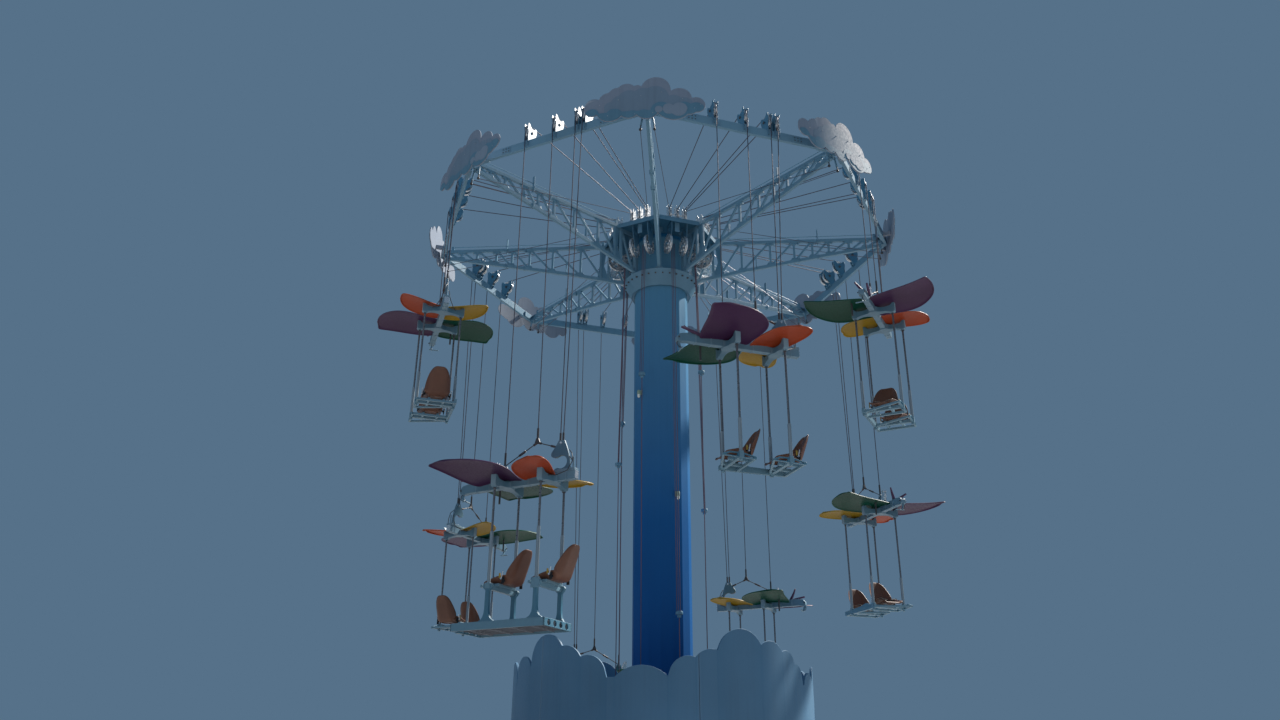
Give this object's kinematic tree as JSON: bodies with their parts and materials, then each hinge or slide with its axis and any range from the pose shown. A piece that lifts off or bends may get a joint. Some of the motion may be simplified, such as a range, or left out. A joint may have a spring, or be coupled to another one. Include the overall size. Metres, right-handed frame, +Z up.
{
  "type": "chair swing ride",
  "caption": "Turning column with an octagonal lattice ring of rope sheaves, winged two-seat gondolas hoisted on ropes and a cloud-topped wall round the base.",
  "frame": {"origin": "on the ground at the centre of the ride, under the column", "axes": "+Z up, -Y towards the front corner of the ring, +X to the right of the front"},
  "size_m": [11.0982, 11.0982, 12.5998],
  "materials": {
    "steel_blue": "semi-gloss paint on structural steel",
    "column_blue": "semi-gloss paint, fading from pale to deep blue",
    "wall_blue": "matt paint on rolled sheet",
    "cloud_grey": "matt painted laminate board",
    "cloud_teal": "matt painted laminate board",
    "canopy_grey": "semi-gloss paint on cast and welded steel",
    "frame_blue": "semi-gloss paint on steel tube",
    "seat_brown": "moulded glass fibre seat shell",
    "wing_purple": "moulded glass fibre shell",
    "wing_green": "moulded glass fibre shell",
    "wing_orange": "moulded glass fibre shell",
    "wing_yellow": "moulded glass fibre shell",
    "rope_steel": "weathered wire rope",
    "fitting_black": "dull black sleeves and clevises",
    "bright_steel": "bright sheave and bolt steel",
    "belt_black": "woven belt with a yellow edge",
    "plinth_grey": "grey painted base plate"
  },
  "bodies": {
    "base": {"base_frame": "plinth_grey", "fascia_1": "wall_blue", "fascia_2": "wall_blue", "fascia_3": "wall_blue", "fascia_4": "wall_blue", "fascia_5": "wall_blue", "fascia_6": "wall_blue"},
    "rotor": {"turntable": "steel_blue", "column": "column_blue", "hub": "steel_blue", "down_ropes": "rope_steel", "truss_1": "steel_blue", "truss_2": "steel_blue", "truss_3": "steel_blue", "truss_4": "steel_blue", "truss_5": "steel_blue", "truss_6": "steel_blue", "truss_7": "steel_blue", "truss_8": "steel_blue", "ring_beam_1": "steel_blue", "ring_beam_2": "steel_blue", "ring_beam_3": "steel_blue", "ring_beam_4": "steel_blue", "ring_beam_5": "steel_blue", "ring_beam_6": "steel_blue", "ring_beam_7": "steel_blue", "ring_beam_8": "steel_blue", "cloud_1": "cloud_grey", "cloud_2": "cloud_grey", "cloud_3": "cloud_grey", "cloud_4": "cloud_grey", "cloud_5": "cloud_grey", "cloud_6": "cloud_grey", "cloud_7": "cloud_grey", "cloud_8": "cloud_grey", "ropes_1": "rope_steel", "ropes_2": "rope_steel", "ropes_3": "rope_steel", "ropes_4": "rope_steel", "ropes_5": "rope_steel", "ropes_6": "rope_steel", "ropes_7": "rope_steel", "ropes_8": "rope_steel"},
    "gondola_1": {"canopy_1": "canopy_grey", "seats_1": "frame_blue"},
    "gondola_2": {"canopy_2": "canopy_grey", "seats_2": "frame_blue"},
    "gondola_3": {"canopy_3": "canopy_grey", "seats_3": "frame_blue"},
    "gondola_4": {"canopy_4": "canopy_grey", "seats_4": "frame_blue"},
    "gondola_5": {"canopy_5": "canopy_grey", "seats_5": "frame_blue"},
    "gondola_6": {"canopy_6": "canopy_grey", "seats_6": "frame_blue"},
    "gondola_7": {"canopy_7": "canopy_grey", "seats_7": "frame_blue"},
    "gondola_8": {"canopy_8": "canopy_grey", "seats_8": "frame_blue"}
  },
  "joints": [
    {"name": "ride_turn", "type": "hinge", "parent": "base", "child": "rotor", "pos_m": [0, 0, 0.72], "axis": [0, 0, 1], "continuous": true},
    {"name": "hoist_1", "type": "slide", "parent": "rotor", "child": "gondola_1", "axis": [0, 0, 1], "range_m": [-5.37, 3.08], "deforming": ["ropes_1"]},
    {"name": "hoist_2", "type": "slide", "parent": "rotor", "child": "gondola_2", "axis": [0, 0, 1], "range_m": [-6.93, 1.52], "deforming": ["ropes_2"]},
    {"name": "hoist_3", "type": "slide", "parent": "rotor", "child": "gondola_3", "axis": [0, 0, 1], "range_m": [-4.15, 4.3], "deforming": ["ropes_3"]},
    {"name": "hoist_4", "type": "slide", "parent": "rotor", "child": "gondola_4", "axis": [0, 0, 1], "range_m": [-2.75, 5.7], "deforming": ["ropes_4"]},
    {"name": "hoist_5", "type": "slide", "parent": "rotor", "child": "gondola_5", "axis": [0, 0, 1], "range_m": [-1.25, 7.2], "deforming": ["ropes_5"]},
    {"name": "hoist_6", "type": "slide", "parent": "rotor", "child": "gondola_6", "axis": [0, 0, 1], "range_m": [-3.85, 4.6], "deforming": ["ropes_6"]},
    {"name": "hoist_7", "type": "slide", "parent": "rotor", "child": "gondola_7", "axis": [0, 0, 1], "range_m": [-7.27, 1.18], "deforming": ["ropes_7"]},
    {"name": "hoist_8", "type": "slide", "parent": "rotor", "child": "gondola_8", "axis": [0, 0, 1], "range_m": [-3.3, 5.15], "deforming": ["ropes_8"]}
  ]
}
